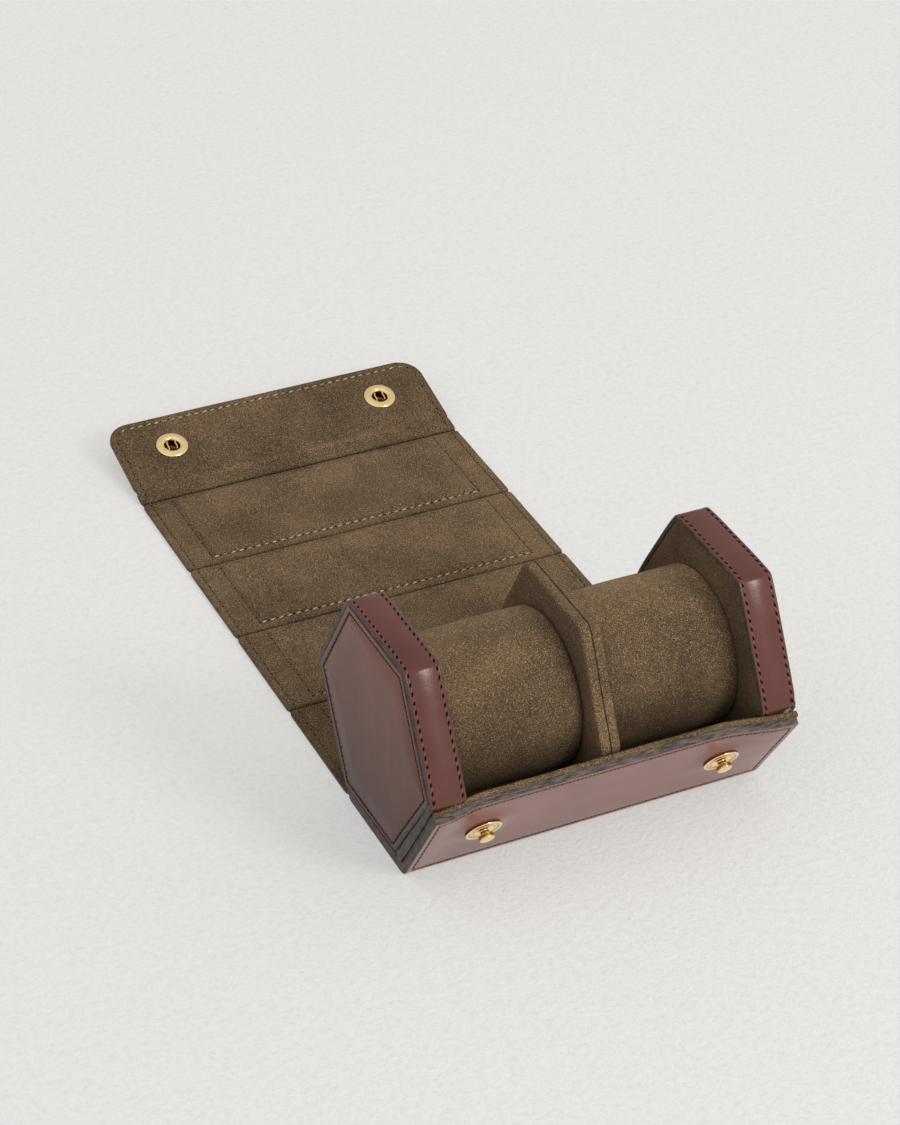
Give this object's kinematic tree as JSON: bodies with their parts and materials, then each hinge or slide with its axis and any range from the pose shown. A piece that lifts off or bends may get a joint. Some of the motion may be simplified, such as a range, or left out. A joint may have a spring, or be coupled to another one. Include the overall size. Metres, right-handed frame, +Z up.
{
  "type": "watch travel case",
  "caption": "Hexagonal roll-up travel case for watches: lined leather wrap with folding lid panels and snap flap, end caps, divider and cushions, shown open",
  "frame": {"origin": "centre of the base's flat resting face, midway between the end caps and under the hexagon's axis", "axes": "+X along the case to the end cap at the picture's right, +Y back towards the laid-out lid, +Z up"},
  "size_m": [0.14, 0.3093, 0.0861],
  "materials": {
    "burgundy_leather": "smooth, semi-matt, stitched in a darker thread, painted black-brown edges",
    "suede": "olive-brown suede with a fine nap, stitched in beige thread",
    "board": "grey stiffening board, hidden inside the leather and suede",
    "foam": "firm foam, hidden inside the cushions' suede",
    "brass": "polished brass snaps"
  },
  "bodies": {
    "case": {"wrap_leather": "burgundy_leather", "base_board": "board", "front_board": "board", "base_lining": "suede", "left_cap_core": "board", "left_cap_face": "burgundy_leather", "left_cap_rim": "burgundy_leather", "left_cap_lining": "suede", "right_cap_core": "board", "right_cap_face": "burgundy_leather", "right_cap_rim": "burgundy_leather", "right_cap_lining": "suede", "left_divider_board": "board", "left_divider_cover": "suede", "right_divider_board": "board", "right_divider_cover": "suede", "left_cushion_core": "foam", "left_cushion_cover": "suede", "left_cushion_ends": "suede", "right_cushion_core": "foam", "right_cushion_cover": "suede", "right_cushion_ends": "suede", "studs": "brass", "stud_rivets": "brass"},
    "lower_back": {"lower_back_leather": "burgundy_leather", "lower_back_board": "board", "lower_back_lining": "suede"},
    "upper_back": {"upper_back_leather": "burgundy_leather", "upper_back_board": "board", "upper_back_lining": "suede"},
    "top_panel": {"top_leather": "burgundy_leather", "top_board": "board", "top_lining": "suede"},
    "upper_front": {"upper_front_leather": "burgundy_leather", "upper_front_board": "board", "upper_front_lining": "suede"},
    "flap": {"flap_leather": "burgundy_leather", "flap_board": "board", "flap_lining": "suede", "sockets": "brass", "socket_springs": "brass", "socket_caps": "brass"}
  },
  "joints": [
    {"name": "base_crease", "type": "hinge", "parent": "case", "child": "lower_back", "pos_m": [0, 0.02225, 0.0005], "axis": [1, 0, 0], "range_deg": [0, 60]},
    {"name": "back_crease", "type": "hinge", "parent": "lower_back", "child": "upper_back", "pos_m": [0, 0.07365, 0.0005], "axis": [1, 0, 0], "range_deg": [0, 60]},
    {"name": "top_back_crease", "type": "hinge", "parent": "upper_back", "child": "top_panel", "pos_m": [0, 0.12281, 0.0005], "axis": [1, 0, 0], "range_deg": [0, 60]},
    {"name": "top_front_crease", "type": "hinge", "parent": "top_panel", "child": "upper_front", "pos_m": [0, 0.16956, 0.0005], "axis": [1, 0, 0], "range_deg": [0, 60]},
    {"name": "flap_crease", "type": "hinge", "parent": "upper_front", "child": "flap", "pos_m": [0, 0.22603, 0.00227], "axis": [1, 0, 0], "range_deg": [0, 46.4]}
  ],
  "couplings": [
    {"joint": "back_crease", "follows": "base_crease", "ratio": 1},
    {"joint": "top_back_crease", "follows": "base_crease", "ratio": 1},
    {"joint": "top_front_crease", "follows": "base_crease", "ratio": 1}
  ]
}
